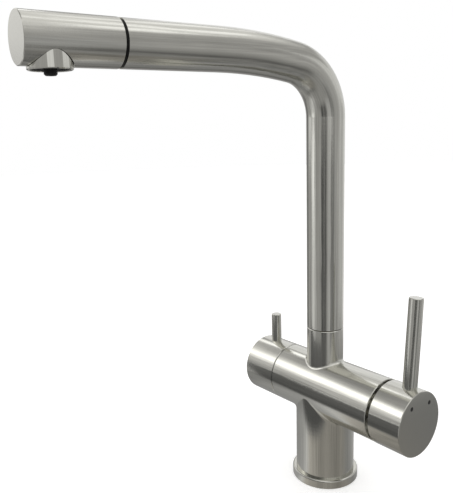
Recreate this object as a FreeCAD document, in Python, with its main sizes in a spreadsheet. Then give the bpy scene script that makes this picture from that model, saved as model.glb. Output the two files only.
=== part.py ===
import FreeCAD, Part
import Sketcher
import math
import operator
import os
from types import SimpleNamespace

# Three-way kitchen mixer tap with a swivel spout and a pull-out head, in millimetres.
# Origin: centre of the base on the worktop. +Z is up, +X is the mixer lever's side, the spout points to -Y.

document = FreeCAD.newDocument("KitchenMixerTap")
sheet = document.addObject("Spreadsheet::Sheet", "Sizes")

driving_sizes = {
    # clearances and edges shared by all pieces
    "seam_gap": 0.3,            # open seam between pieces that move against each other
    "running_fit": 0.05,        # radial room of a shaft, ring or plug in its bore
    "disc_film": 0.05,          # water film between lapped ceramic discs
    "edge_break": 0.4,          # small chamfer on turned edges
    "cut_overrun": 2.0,         # how far a cut runs past the face it starts from
    # base
    "gasket_thickness": 1.5,
    "gasket_step": 1.4,         # how far the gasket stands out from the column
    "gasket_opening": 37.0,
    "base_ring_step": 3.0,      # how far the ring stands out from the column
    "base_ring_height": 6.8,
    "base_ring_lift": 0.4,      # the ring's rim stays this far above the worktop
    "base_ring_round": 1.2,
    # mixer body
    "column_diameter": 45.6,
    "column_bore": 41.0,
    "column_ceiling_height": 50.0,
    "cross_height": 74.9,
    "barrel_diameter": 46.4,
    "barrel_filter_reach": 37.4,
    "barrel_mixer_reach": 57.8,
    "neck_height": 124.0,
    "neck_fillet": 2.2,
    "column_fillet": 4.5,
    "swivel_socket_diameter": 23.8,
    "swivel_socket_depth": 24.0,
    "stop_screw_drop": 11.0,    # from the neck's top down to the screw
    "stop_screw_diameter": 5.0,
    "stop_screw_tip_diameter": 3.8,
    "stop_screw_tip_length": 2.2,
    "stop_screw_sink": 0.3,     # the screw's outer end lies this far inside the neck's wall
    # waterways and inlets
    "port_circle": 27.2,
    "port_diameter": 7.0,
    "port_thread_length": 10.0,
    "waterway_diameter": 6.0,
    "feed_tube_diameter": 8.0,
    "feed_tube_wall": 1.0,
    "feed_tube_seat_length": 4.0,
    "block_bottom_height": 3.4,
    "block_height": 18.0,
    "block_clip_thickness": 1.2,
    "block_clip_width": 2.4,
    "block_clip_groove": 0.8,
    "block_clip_angle": 320.0,
    # hoses
    "hose_diameter": 12.4,
    "hose_bore": 8.8,
    "hose_room": 0.5,
    "filter_tube_diameter": 5.0,
    "filter_tube_wall": 0.8,
    "fitting_bore": 6.6,
    "tail_diameter": 14.0,
    "tail_sink": 3.0,           # the tail fitting's thread end lies this far inside the inlet block
    "barb_length": 12.0,
    # mixer cartridge, measured along the barrel from the column's axis
    "mixer_seat_offset": 18.0,
    "mixer_chamber_diameter": 36.0,
    "nut_thread_diameter": 38.0,
    "nut_shoulder_offset": 50.0,
    "nut_length": 6.0,
    "nut_bore": 27.0,
    "nut_slot_width": 4.0,
    "nut_slot_depth": 2.5,
    "cover_thickness": 1.5,
    "cover_bore": 25.0,
    "cartridge_diameter": 35.0,
    "cartridge_seal_thickness": 0.6,
    "cartridge_base_thickness": 9.4,
    "cartridge_wall": 1.9,
    "disc_diameter": 30.0,
    "fixed_disc_thickness": 4.0,
    "moving_disc_diameter": 22.0,
    "moving_disc_thickness": 3.5,
    "disc_channel_depth": 2.0,
    "disc_channel_width": 10.0,
    "disc_channel_height": 8.0,
    "disc_channel_drop": 0.6,
    "disc_port_offset": 6.5,
    "disc_port_diameter": 5.6,
    "mixed_port_drop": 8.0,
    "carrier_thickness": 6.0,
    "carrier_rail_width": 1.6,
    "carrier_rail_height": 1.6,
    "carrier_rail_inset": 1.5,  # from the disc's edge to the middle of a rail
    "carrier_rail_length": 10.0,
    "ball_diameter": 6.4,
    "ball_room": 0.3,
    "ball_arm": 8.3,            # from the tilt axis to the ball's centre
    "tilt_axis_offset": 48.3,
    "tilt_pin_diameter": 4.0,
    "rotor_neck_diameter": 22.4,
    "rotor_flange_thickness": 3.2,
    "rotor_top_offset": 52.0,
    "rotor_slot_length": 14.0,
    "spindle_width": 8.0,
    "ball_neck_diameter": 4.8,
    # mixer handle
    "mixer_turn": -4.0,         # where the handle stands at rest, degrees about +X
    "mixer_gap": 2.5,
    "mixer_cap_diameter": 46.8,
    "mixer_cap_length": 25.7,
    "mixer_cap_mouth": 45.0,
    "mixer_cap_mouth_depth": 4.0,
    "mixer_cap_cavity": 40.0,
    "mixer_cap_cavity_depth": 8.0,
    "mixer_boss_diameter": 17.0,
    "mixer_boss_length": 6.0,
    "spindle_seat_length": 13.3,
    "mixer_pin_diameter": 10.1,
    "mixer_pin_face_distance": 9.4,
    "mixer_pin_seat_height": 9.5,
    "mixer_pin_height": 87.0,
    "lever_tip_chamfer": 0.4,
    "mixer_grub_diameter": 5.0,
    "mixer_grub_length": 8.0,
    "mixer_grub_setback": 3.3,  # from the spindle's tip to the screw
    "grub_socket_share": 0.5,   # hexagon socket across its corners, as a share of the screw
    "grub_socket_depth": 2.5,
    "mark_diameter": 3.0,
    "mark_thickness": 0.6,
    "mark_circle": 33.8,
    "mark_angle": 36.9,
    # filter valve, measured along the barrel from the column's axis
    "filter_seat_offset": 14.0,
    "filter_chamber_diameter": 25.0,
    "filter_port_offset": 8.0,
    "filter_port_diameter": 4.4,
    "filter_seal_thickness": 0.6,
    "filter_disc_diameter": 22.0,
    "filter_disc_thickness": 3.4,
    "filter_disc_slot_width": 4.6,
    "filter_disc_slot_depth": 1.6,
    "filter_collar_diameter": 19.6,
    "filter_collar_thickness": 3.4,
    "filter_stem_diameter": 8.0,
    "filter_square_width": 6.0,
    "filter_square_length": 12.6,
    "filter_valve_nose_length": 3.6,
    "filter_valve_nose_diameter": 20.0,
    # filter handle
    "filter_gap": 0.6,
    "filter_cap_length": 31.2,
    "filter_cap_cavity": 40.0,
    "filter_cap_cavity_depth": 8.0,
    "filter_pin_diameter": 8.2,
    "filter_pin_rim_distance": 17.4,
    "filter_pin_seat_height": 7.0,
    "filter_pin_height": 46.6,
    "filter_grub_diameter": 4.0,
    "filter_grub_length": 7.0,
    "filter_grub_setback": 7.0,
    # spout
    "spout_turn": -3.55,        # where the spout stands at rest, degrees about +Z from -Y
    "spout_diameter": 28.0,
    "spout_wall": 1.5,
    "spout_height": 326.0,
    "spout_reach": 160.1,
    "spout_gap": 0.7,           # open seam above the neck
    "bend_radius": 38.0,
    "shoulder_radius": 360.0,   # the arm rises in a slow curve from the bend before it runs level
    "shoulder_angle": 10.0,
    "hose_bend_radius": 50.0,
    "ferrule_stem_diameter": 23.0,
    "ferrule_plug_length": 14.0,
    "slide_ring_width": 3.0,
    "slide_ring_depth": 0.9,
    "slide_ring_inset": 1.6,
    "seal_cord": 2.4,
    "seal_spacing": 2.2,
    "stop_groove_width": 4.8,
    "stop_groove_diameter": 18.4,
    "stop_groove_angle": 168.0,
    "collar_length": 22.0,
    "collar_lip_width": 1.3,
    "collar_lip_diameter": 26.4,
    "collar_bore": 20.4,
    # pull-out head, measured along the spout
    "head_diameter": 28.2,
    "head_length": 55.7,
    "head_wall": 1.9,
    "head_end_wall": 3.0,
    "spigot_length": 20.0,
    "spigot_flange_length": 6.0,
    "spigot_bore": 14.2,
    "coupling_flange_length": 5.0,
    "coupling_seat_length": 4.0,
    "crimp_wall": 0.5,
    "crimp_length": 11.0,
    "head_hose_length": 100.0,
    "guide_tube_seat_length": 4.0,
    "guide_channel_diameter": 3.4,
    "guide_channel_offset": 5.0,
    "guide_drop_diameter": 3.0,
    "outlet_setback": 16.7,
    "outlet_gap": 0.4,          # open seam between the head's hole and the outlet sleeve
    "outlet_hole_ceiling_height": 4.0,
    "outlet_sleeve_diameter": 24.6,
    "outlet_sleeve_wall": 1.4,
    "outlet_sleeve_drop_height": 15.8,
    "outlet_sleeve_round": 0.5,
    "aerator_recess": 0.4,
    "aerator_thickness": 5.0,
    "aerator_seal_thickness": 1.0,
    "jet_diameter": 1.4,
    "jet_depth": 2.0,
    "inner_jet_circle": 12.4,
    "outer_jet_circle": 18.4,
    "nozzle_diameter": 7.2,
    "nozzle_tip_offset": 18.6,
    "nozzle_bore": 3.6,
    "nozzle_chamfer": 0.8,
}

inner_jets = 10
outer_jets = 16
port_count = 6
hexagon_sides = 6
quarter_turn = 90.0
full_turn = 360.0
line_shares = (0.2, 0.5, 0.8)   # where a line is looked at, along its length
touching_share = 1e-4           # how near counts as touching, as a share of a radius


class Size:
    # A value together with the sheet formula that gives it, so that sketches can be bound to the sheet.

    def __init__(self, value, formula):
        self.value = value
        self.formula = formula

    def __add__(self, other):
        return joined(operator.add, "+", self, other)

    def __sub__(self, other):
        return joined(operator.sub, "-", self, other)

    def __mul__(self, other):
        return joined(operator.mul, "*", self, other)

    def __truediv__(self, other):
        return joined(operator.truediv, "/", self, other)

    def __neg__(self):
        return Size(-self.value, f"(-{self.formula})")


def as_size(value):
    return value if isinstance(value, Size) else Size(value, repr(value))


def joined(operation, sign, left, right):
    right = as_size(right)
    return Size(operation(left.value, right.value), f"({left.formula} {sign} {right.formula})")


def cosine(angle):
    return Size(math.cos(math.radians(angle.value)), f"cos({angle.formula} * 1 deg)")


def sine(angle):
    return Size(math.sin(math.radians(angle.value)), f"sin({angle.formula} * 1 deg)")


for row, (alias, value) in enumerate(driving_sizes.items(), start=1):
    sheet.set(f"A{row}", alias.replace("_", " "))
    sheet.set(f"B{row}", str(value))
    sheet.setAlias(f"B{row}", alias)
document.recompute()

s = SimpleNamespace(**{alias: Size(value, f"Sizes.{alias}") for alias, value in driving_sizes.items()})
pieces = []


# Working frames: turning axis, angle and height of the frame that a piece is drawn in

up = FreeCAD.Vector(0, 0, 1)
sideways = FreeCAD.Vector(1, 0, 0)
spout_angle = s.spout_turn - quarter_turn
frames = {
    "column": (up, None, None),
    "cross": (sideways, None, s.cross_height),
    "handle": (sideways, s.mixer_turn, s.cross_height),
    "spout": (up, spout_angle, None),
    "arm": (up, spout_angle, s.spout_height),
}


def place(piece, frame, along=None, across=None):
    axis, angle, height = frames[frame]
    if along is not None and angle is not None and axis is up:
        across = along * sine(angle)
        along = along * cosine(angle)
    if angle is not None:
        piece.Placement = FreeCAD.Placement(FreeCAD.Vector(), FreeCAD.Rotation(axis, angle.value))
        piece.setExpression("Placement.Rotation.Angle", angle.formula)
    for name, size in (("x", along), ("y", across), ("z", height)):
        if size is not None:
            piece.setExpression(f"Placement.Base.{name}", size.formula)


def new_body(label, frame, along=None, across=None):
    body = document.addObject("PartDesign::Body", label)
    body.Label = label
    place(body, frame, along, across)
    pieces.append(body)
    return body


# Sketch helpers: the sketcher numbers a line's two ends and a circle's middle

start_index = 1
end_index = 2
middle_index = 3


def new_sketch(body, role, offset=None):
    sketch = body.newObject("Sketcher::SketchObject", f"{body.Label}_sketch")
    plane = next(item for item in body.Origin.OriginFeatures if item.Role == role)
    sketch.AttachmentSupport = [(plane, "")]
    sketch.MapMode = "FlatFace"
    if offset is not None:
        sketch.setExpression("AttachmentOffset.Base.z", offset.formula)
    return sketch


def bind(sketch, constraint, size):
    index = sketch.addConstraint(constraint)
    sketch.setExpression(f"Constraints[{index}]", size.formula)


def pin_down(sketch, edge, end, across, upward):
    for kind, axis, size in (("DistanceX", -2, across), ("DistanceY", -1, upward)):
        if isinstance(size, Size):
            bind(sketch, Sketcher.Constraint(kind, -1, 1, edge, end, size.value), size)
        else:
            sketch.addConstraint(Sketcher.Constraint("PointOnObject", edge, end, axis))


def point(across, upward):
    return FreeCAD.Vector(as_size(across).value, as_size(upward).value, 0)


def outline(sketch, corners):
    first = sketch.GeometryCount
    count = len(corners)
    for i in range(count):
        sketch.addGeometry(Part.LineSegment(point(*corners[i]), point(*corners[(i + 1) % count])), False)
    for i in range(count):
        following = first + (i + 1) % count
        meeting = Sketcher.Constraint("Coincident", first + i, end_index, following, start_index)
        sketch.addConstraint(meeting)
    for i in range(count):
        pin_down(sketch, first + i, start_index, *corners[i])


def circle(sketch, across, upward, diameter):
    radius = diameter / 2
    edge = sketch.addGeometry(Part.Circle(point(across, upward), up, radius.value), False)
    bind(sketch, Sketcher.Constraint("Radius", edge, radius.value), radius)
    pin_down(sketch, edge, middle_index, across, upward)


def rectangle(sketch, left, right, bottom, top):
    outline(sketch, [(left, bottom), (right, bottom), (right, top), (left, top)])


def centred_rectangle(sketch, width, height):
    rectangle(sketch, -(width / 2), width / 2, -(height / 2), height / 2)


# Feature helpers

def revolve(body, corners, axis, kind="Revolution", angle=None, both_ways=False, role="XZ_Plane"):
    sketch = new_sketch(body, role)
    outline(sketch, corners)
    feature = body.newObject(f"PartDesign::{kind}", f"{body.Label}_{kind}")
    feature.Profile = sketch
    feature.ReferenceAxis = (sketch, [axis])
    feature.Angle = full_turn
    if angle is not None:
        feature.setExpression("Angle", angle.formula)
        feature.Midplane = both_ways
    return feature


def extrude(body, sketch, length, kind="Pad", forward=True, both_ways=False):
    feature = body.newObject(f"PartDesign::{kind}", f"{body.Label}_{kind}")
    feature.Profile = sketch
    feature.setExpression("Length", length.formula)
    feature.Reversed = forward if kind == "Pocket" else not forward
    feature.SideType = "Symmetric" if both_ways else "One side"
    return feature


def pocket_circles(body, role, offset, circles, depth, forward, both_ways=False):
    sketch = new_sketch(body, role, offset)
    for across, upward, diameter in circles:
        circle(sketch, across, upward, diameter)
    return extrude(body, sketch, depth, "Pocket", forward, both_ways)


def pattern_around(body, feature, count):
    pattern = body.newObject("PartDesign::PolarPattern", f"{body.Label}_pattern")
    pattern.Originals = [feature]
    axis = next(item for item in body.Origin.OriginFeatures if item.Role == "Z_Axis")
    pattern.Axis = (axis, [""])
    pattern.Angle = full_turn
    pattern.Occurrences = count
    body.Tip = pattern
    return pattern


def turned(label, frame, corners, axis="H_Axis", along=None, across=None, angle=None):
    # A lathe part: H_Axis turns the outline about the local X, V_Axis about the local Z.
    body = new_body(label, frame, along, across)
    revolve(body, corners, axis, angle=angle)
    return body


def sleeve(label, frame, start, end, outer, inner, axis="H_Axis", along=None, across=None):
    # A plain tube or ring between two stations on its axis.
    inside, outside = inner / 2, outer / 2
    if axis == "H_Axis":
        corners = [(start, inside), (end, inside), (end, outside), (start, outside)]
    else:
        corners = [(inside, start), (inside, end), (outside, end), (outside, start)]
    return turned(label, frame, corners, axis, along, across)


def bent_tube(label, bottom, end, outer, inner, bend, shoulder):
    # Up the spout's riser, round the bend, along the shoulder's slow curve and out along the level arm.
    body = new_body(label, "spout")
    path = new_sketch(body, "XZ_Plane")
    lean = s.shoulder_angle
    shoulder_start = bend - bend * sine(lean)
    shoulder_low = s.spout_height - shoulder + shoulder * cosine(lean)
    bend_start = shoulder_low - bend * cosine(lean)
    arm_start = shoulder_start + shoulder * sine(lean)
    bend_ring = Part.Circle(point(bend, bend_start), up, bend.value)
    shoulder_ring = Part.Circle(point(arm_start, s.spout_height - shoulder), up, shoulder.value)
    level = math.pi / 2
    meeting = level + math.radians(lean.value)
    riser = path.addGeometry(Part.LineSegment(point(0, bottom), point(0, bend_start)), False)
    lower = path.addGeometry(Part.ArcOfCircle(bend_ring, meeting, math.pi), False)
    upper = path.addGeometry(Part.ArcOfCircle(shoulder_ring, level, meeting), False)
    arm_line = Part.LineSegment(point(arm_start, s.spout_height), point(end, s.spout_height))
    arm = path.addGeometry(arm_line, False)
    path.addConstraint(Sketcher.Constraint("Coincident", riser, end_index, lower, end_index))
    path.addConstraint(Sketcher.Constraint("Coincident", lower, start_index, upper, end_index))
    path.addConstraint(Sketcher.Constraint("Coincident", upper, start_index, arm, start_index))
    bind(path, Sketcher.Constraint("Radius", lower, bend.value), bend)
    bind(path, Sketcher.Constraint("Radius", upper, shoulder.value), shoulder)
    pin_down(path, riser, start_index, 0, bottom)
    pin_down(path, riser, end_index, 0, bend_start)
    pin_down(path, lower, start_index, shoulder_start, shoulder_low)
    pin_down(path, arm, start_index, arm_start, s.spout_height)
    pin_down(path, arm, end_index, end, s.spout_height)
    section = new_sketch(body, "XY_Plane", bottom)
    circle(section, 0, 0, outer)
    circle(section, 0, 0, inner)
    pipe = body.newObject("PartDesign::AdditivePipe", f"{label}_pipe")
    pipe.Profile = section
    pipe.Spine = path
    return body


def seal_ring(label, frame, height, outer, cord):
    ring = document.addObject("Part::Torus", label)
    ring.Label = label
    ring.setExpression("Radius1", ((outer - cord) / 2).formula)
    ring.setExpression("Radius2", (cord / 2).formula)
    place(ring, frame)
    ring.setExpression("Placement.Base.z", height.formula)
    pieces.append(ring)


def grub_screw(label, frame, diameter, length, top, along):
    # A headless screw that points up, with its hexagon socket below.
    body = new_body(label, frame, along)
    radius = diameter / 2
    chamfer = s.edge_break
    low = top - length
    corners = [
        (0, low), (radius - chamfer, low), (radius, low + chamfer),
        (radius, top - chamfer), (radius - chamfer, top), (0, top),
    ]
    revolve(body, corners, "V_Axis")
    hexagon_socket(body, "XY_Plane", low, radius * s.grub_socket_share * 2, True)
    return body


def hexagon_socket(body, role, face, corner_circle, forward):
    sketch = new_sketch(body, role, face)
    corners = []
    corner_turn = full_turn / hexagon_sides
    for i in range(hexagon_sides):
        angle = as_size(corner_turn * i + corner_turn / 2)
        corners.append((corner_circle / 2 * cosine(angle), corner_circle / 2 * sine(angle)))
    outline(sketch, corners)
    extrude(body, sketch, s.grub_socket_depth, "Pocket", forward)


def port_place(step):
    # Places on the port circle, a sixth of a turn apart, from the mixer side towards the back.
    angle = as_size(full_turn * step / port_count)
    across = s.port_circle / 2 * cosine(angle)
    if step in (0, port_count // 2):
        return across, 0
    return across, s.port_circle / 2 * sine(angle)


mixed_place = port_place(0)
hot_place = port_place(1)
filter_feed_place = port_place(2)
filter_return_place = port_place(4)
cold_place = port_place(5)
fed_places = [mixed_place, hot_place, filter_feed_place, filter_return_place, cold_place]

# Stations along the barrel that several pieces share
barrel_left = -s.barrel_filter_reach
barrel_right = s.barrel_mixer_reach
filter_square_start = barrel_left - s.filter_cap_cavity_depth
filter_square_end = filter_square_start - s.filter_square_length
base_start = s.mixer_seat_offset + s.cartridge_seal_thickness
fixed_disc_start = base_start + s.cartridge_base_thickness
moving_disc_start = fixed_disc_start + s.fixed_disc_thickness + s.disc_film
carrier_start = moving_disc_start + s.moving_disc_thickness
carrier_end = carrier_start + s.carrier_thickness
rotor_start = carrier_end + s.seam_gap
flange_end = rotor_start + s.rotor_flange_thickness
ball_centre = s.tilt_axis_offset - s.ball_arm
tube_socket_diameter = s.feed_tube_diameter + s.running_fit * 2
hose_passage = s.hose_diameter + s.hose_room * 2
column_floor = s.gasket_thickness
socket_floor = s.neck_height - s.swivel_socket_depth
stop_screw_height = s.neck_height - s.stop_screw_drop
rail_place = s.moving_disc_diameter / 2 - s.carrier_rail_inset


def at_cross(height):
    # A height above the worktop, seen from the barrel's axis.
    return height - s.cross_height


def wall_lines(shape, radius, height=None):
    # The lines on an upright round wall: those that run up and down it, or the level one at a height.
    near = radius.value * touching_share
    names = []
    for number, edge in enumerate(shape.Edges, start=1):
        spots = [edge.valueAt(edge.getParameterByLength(edge.Length * share)) for share in line_shares]
        on_wall = all(abs(math.hypot(p.x, p.y) - radius.value) < near for p in spots)
        level = max(p.z for p in spots) - min(p.z for p in spots) < near
        upright = all(math.hypot(p.x - spots[0].x, p.y - spots[0].y) < near for p in spots)
        if height is None:
            wanted = not level and not upright
        else:
            wanted = level and abs(spots[0].z - height.value) < near
        if on_wall and wanted:
            names.append(f"Edge{number}")
    return names


def round_lines(body, wall_radius, size, height=None):
    document.recompute()
    feature = body.Tip
    rounding = body.newObject("PartDesign::Fillet", f"{body.Label}_rounding")
    rounding.Base = (feature, wall_lines(feature.Shape, wall_radius, height))
    rounding.setExpression("Radius", size.formula)


def make_mixer_body():
    # One casting: column, cross barrel and neck, drawn from the point where their axes cross.
    body = new_body("mixer_body", "cross")
    floor = at_cross(column_floor)
    ceiling = at_cross(s.column_ceiling_height)
    neck_end = at_cross(s.neck_height)
    column, neck, barrel = s.column_diameter / 2, s.spout_diameter / 2, s.barrel_diameter / 2
    bevel = s.edge_break
    revolve(body, [
        (0, floor), (column, floor), (column, 0), (neck, 0),
        (neck, neck_end - bevel), (neck - bevel, neck_end), (0, neck_end),
    ], "V_Axis", role="YZ_Plane")
    revolve(body, [
        (barrel_left, 0), (barrel_left, barrel - bevel), (barrel_left + bevel, barrel),
        (barrel_right - bevel, barrel), (barrel_right, barrel - bevel), (barrel_right, 0),
    ], "H_Axis")
    round_lines(body, column, s.column_fillet)
    round_lines(body, neck, s.neck_fillet)

    bore = s.column_bore / 2
    clip_top = at_cross(s.block_bottom_height)
    clip_low = clip_top - s.block_clip_thickness - s.running_fit * 2
    revolve(body, [
        (0, floor - s.cut_overrun), (bore, floor - s.cut_overrun), (bore, clip_low),
        (bore + s.block_clip_groove, clip_low), (bore + s.block_clip_groove, clip_top),
        (bore, clip_top), (bore, ceiling), (0, ceiling),
    ], "V_Axis", "Groove")
    socket, socket_end = s.swivel_socket_diameter / 2, at_cross(socket_floor)
    revolve(body, [
        (0, neck_end + s.cut_overrun), (socket, neck_end + s.cut_overrun), (socket, socket_end),
        (hose_passage / 2, socket_end), (hose_passage / 2, ceiling - s.cut_overrun),
        (0, ceiling - s.cut_overrun),
    ], "V_Axis", "Groove")
    chamber, thread = s.mixer_chamber_diameter / 2, s.nut_thread_diameter / 2
    revolve(body, [
        (s.mixer_seat_offset, 0), (s.mixer_seat_offset, chamber),
        (s.nut_shoulder_offset, chamber), (s.nut_shoulder_offset, thread),
        (barrel_right + s.cut_overrun, thread), (barrel_right + s.cut_overrun, 0),
    ], "H_Axis", "Groove")
    filter_chamber = s.filter_chamber_diameter / 2
    revolve(body, [
        (barrel_left - s.cut_overrun, 0), (barrel_left - s.cut_overrun, filter_chamber),
        (-s.filter_seat_offset, filter_chamber), (-s.filter_seat_offset, 0),
    ], "H_Axis", "Groove")

    # feed tubes plug into the ceiling, and drilled waterways lead on to the two valve seats
    pocket_circles(body, "XY_Plane", ceiling, [(x, y, tube_socket_diameter) for x, y in fed_places],
                   s.feed_tube_seat_length, True)
    drill = s.waterway_diameter
    upright = [(x, y, drill) for x, y in fed_places if y != 0]
    pocket_circles(body, "XY_Plane", ceiling, upright, drill / 2 - ceiling, True)
    pocket_circles(body, "XY_Plane", ceiling, [(*mixed_place, drill)],
                   drill / 2 - s.mixed_port_drop - ceiling, True)
    side_ways = [(hot_place[1], 0, drill), (cold_place[1], 0, drill)]
    pocket_circles(body, "YZ_Plane", s.mixer_seat_offset, side_ways,
                   s.mixer_seat_offset - hot_place[0], False)
    pocket_circles(body, "YZ_Plane", s.mixer_seat_offset, [(0, -s.mixed_port_drop, drill)],
                   s.mixer_seat_offset - mixed_place[0], False)
    filter_ports = [(s.filter_port_offset, 0, s.filter_port_diameter),
                    (-s.filter_port_offset, 0, s.filter_port_diameter)]
    pocket_circles(body, "YZ_Plane", -s.filter_seat_offset, filter_ports,
                   s.filter_seat_offset + filter_feed_place[0], True)
    screw = [(0, at_cross(stop_screw_height), s.stop_screw_diameter)]
    pocket_circles(body, "XZ_Plane", None, screw, s.spout_diameter, False)


def make_base():
    column = s.column_diameter / 2
    ring, gasket = column + s.base_ring_step, column + s.gasket_step
    inside, recess = column + s.running_fit, gasket + s.running_fit
    rim = turned("base_ring", "column", [
        (ring, s.base_ring_lift), (ring, s.base_ring_height), (inside, s.base_ring_height),
        (inside, s.gasket_thickness), (recess, s.gasket_thickness), (recess, s.base_ring_lift),
    ], "V_Axis")
    round_lines(rim, ring, s.base_ring_round, s.base_ring_height)
    sleeve("base_gasket", "column", 0, s.gasket_thickness, gasket * 2, s.gasket_opening, "V_Axis")


def make_inlet_block():
    top = s.block_bottom_height + s.block_height
    block = sleeve("inlet_block", "column", s.block_bottom_height, top, s.column_bore - s.running_fit * 2,
                   s.tail_diameter + s.running_fit * 2, "V_Axis")
    port = pocket_circles(block, "XY_Plane", s.block_bottom_height, [(*mixed_place, s.port_diameter)],
                          s.port_thread_length, True)
    document.recompute()
    pattern_around(block, port, port_count)
    waterways = [(x, y, s.waterway_diameter) for x, y in fed_places]
    pocket_circles(block, "XY_Plane", s.block_bottom_height, waterways, s.block_height, True)
    pocket_circles(block, "XY_Plane", top, [(x, y, tube_socket_diameter) for x, y in fed_places],
                   s.feed_tube_seat_length, False)
    outer = s.column_bore / 2 + s.block_clip_groove - s.running_fit
    clip_low = s.block_bottom_height - s.block_clip_thickness
    turned("block_clip", "column", [
        (outer, clip_low), (outer, s.block_bottom_height),
        (outer - s.block_clip_width, s.block_bottom_height), (outer - s.block_clip_width, clip_low),
    ], "V_Axis", angle=s.block_clip_angle)

    names = [
        "mixed_return_tube", "hot_feed_tube", "filter_feed_tube", "filter_return_tube", "cold_feed_tube",
    ]
    bore = s.feed_tube_diameter - s.feed_tube_wall * 2
    tube_low = top - s.feed_tube_seat_length
    tube_high = s.column_ceiling_height + s.feed_tube_seat_length
    for name, (x, y) in zip(names, fed_places):
        across = y if y != 0 else None
        sleeve(name, "column", tube_low, tube_high, s.feed_tube_diameter, bore, "V_Axis", x, across)


def make_column_hose():
    top = s.block_bottom_height + s.block_height
    tail_low = s.block_bottom_height + s.tail_sink
    tail, barb, bore = s.tail_diameter / 2, s.hose_bore / 2 - s.running_fit, s.fitting_bore / 2
    turned("hose_tail_fitting", "column", [
        (bore, tail_low), (bore, top + s.barb_length), (barb - s.edge_break, top + s.barb_length),
        (barb, top + s.barb_length - s.edge_break), (barb, top), (tail, top), (tail, tail_low),
    ], "V_Axis")
    hose_end = socket_floor
    sleeve("column_hose", "column", top, hose_end, s.hose_diameter, s.hose_bore, "V_Axis")
    tube_bore = s.filter_tube_diameter - s.filter_tube_wall * 2
    sleeve("column_filter_tube", "column", tail_low, hose_end, s.filter_tube_diameter, tube_bore, "V_Axis")


def make_stop_screw():
    # A dog-point grub screw through the back of the neck: its tip rides in the ferrule's groove.
    body = new_body("swivel_stop_screw", "column")
    radius, tip = s.stop_screw_diameter / 2 - s.running_fit, s.stop_screw_tip_diameter / 2
    outer = s.spout_diameter / 2 - s.stop_screw_sink
    shoulder = s.swivel_socket_diameter / 2 + s.running_fit
    sketch = new_sketch(body, "XZ_Plane", -shoulder)
    circle(sketch, 0, stop_screw_height, radius * 2)
    extrude(body, sketch, outer - shoulder, "Pad", False)
    nose = new_sketch(body, "XZ_Plane", -shoulder)
    circle(nose, 0, stop_screw_height, tip * 2)
    extrude(body, nose, s.stop_screw_tip_length, "Pad", True)


def make_cartridge():
    outer, chamber_bore = s.cartridge_diameter, s.cartridge_diameter / 2 - s.cartridge_wall
    seat_ports = [(hot_place[1], 0, s.waterway_diameter), (cold_place[1], 0, s.waterway_diameter),
                  (0, -s.mixed_port_drop, s.waterway_diameter)]
    disc_ports = [(s.disc_port_offset, s.disc_port_diameter / 2, s.disc_port_diameter),
                  (-s.disc_port_offset, s.disc_port_diameter / 2, s.disc_port_diameter),
                  (0, -s.disc_port_offset, s.disc_port_diameter)]

    seal = turned("cartridge_seal", "cross", [
        (s.mixer_seat_offset, 0), (base_start, 0),
        (base_start, outer / 2), (s.mixer_seat_offset, outer / 2),
    ])
    pocket_circles(seal, "YZ_Plane", s.mixer_seat_offset, seat_ports, s.cartridge_seal_thickness, True)

    base = turned("cartridge_base", "cross", [
        (base_start, 0), (fixed_disc_start, 0), (fixed_disc_start, outer / 2), (base_start, outer / 2),
    ])
    crossing = s.cartridge_base_thickness / 2 + s.edge_break
    pocket_circles(base, "YZ_Plane", base_start, seat_ports, crossing, True)
    pocket_circles(base, "YZ_Plane", fixed_disc_start, disc_ports, crossing, False)

    fixed_end = fixed_disc_start + s.fixed_disc_thickness
    disc = turned("cartridge_fixed_disc", "cross", [
        (fixed_disc_start, 0), (fixed_end, 0), (fixed_end, s.disc_diameter / 2),
        (fixed_disc_start, s.disc_diameter / 2),
    ])
    pocket_circles(disc, "YZ_Plane", fixed_disc_start, disc_ports, s.fixed_disc_thickness, True)

    lip_start = flange_end + s.seam_gap
    lip = s.rotor_neck_diameter / 2 + s.seam_gap
    turned("cartridge_housing", "cross", [
        (fixed_disc_start, chamber_bore), (lip_start, chamber_bore), (lip_start, lip),
        (s.nut_shoulder_offset, lip), (s.nut_shoulder_offset, outer / 2 - s.edge_break),
        (s.nut_shoulder_offset - s.edge_break, outer / 2),
        (fixed_disc_start, outer / 2),
    ])

    nut_end = s.nut_shoulder_offset + s.nut_length
    thread = s.nut_thread_diameter / 2 - s.running_fit
    nut = turned("cartridge_nut", "cross", [
        (s.nut_shoulder_offset, s.nut_bore / 2), (nut_end, s.nut_bore / 2),
        (nut_end, thread - s.edge_break),
        (nut_end - s.edge_break, thread), (s.nut_shoulder_offset, thread),
    ])
    slots = new_sketch(nut, "YZ_Plane", nut_end)
    centred_rectangle(slots, s.nut_slot_width, s.nut_thread_diameter + s.cut_overrun)
    extrude(nut, slots, s.nut_slot_depth, "Pocket", False)

    cover_end = nut_end + s.cover_thickness
    turned("cartridge_cover", "cross", [
        (nut_end, s.cover_bore / 2), (cover_end, s.cover_bore / 2), (cover_end, thread - s.edge_break),
        (cover_end - s.edge_break, thread), (nut_end, thread),
    ])


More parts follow.
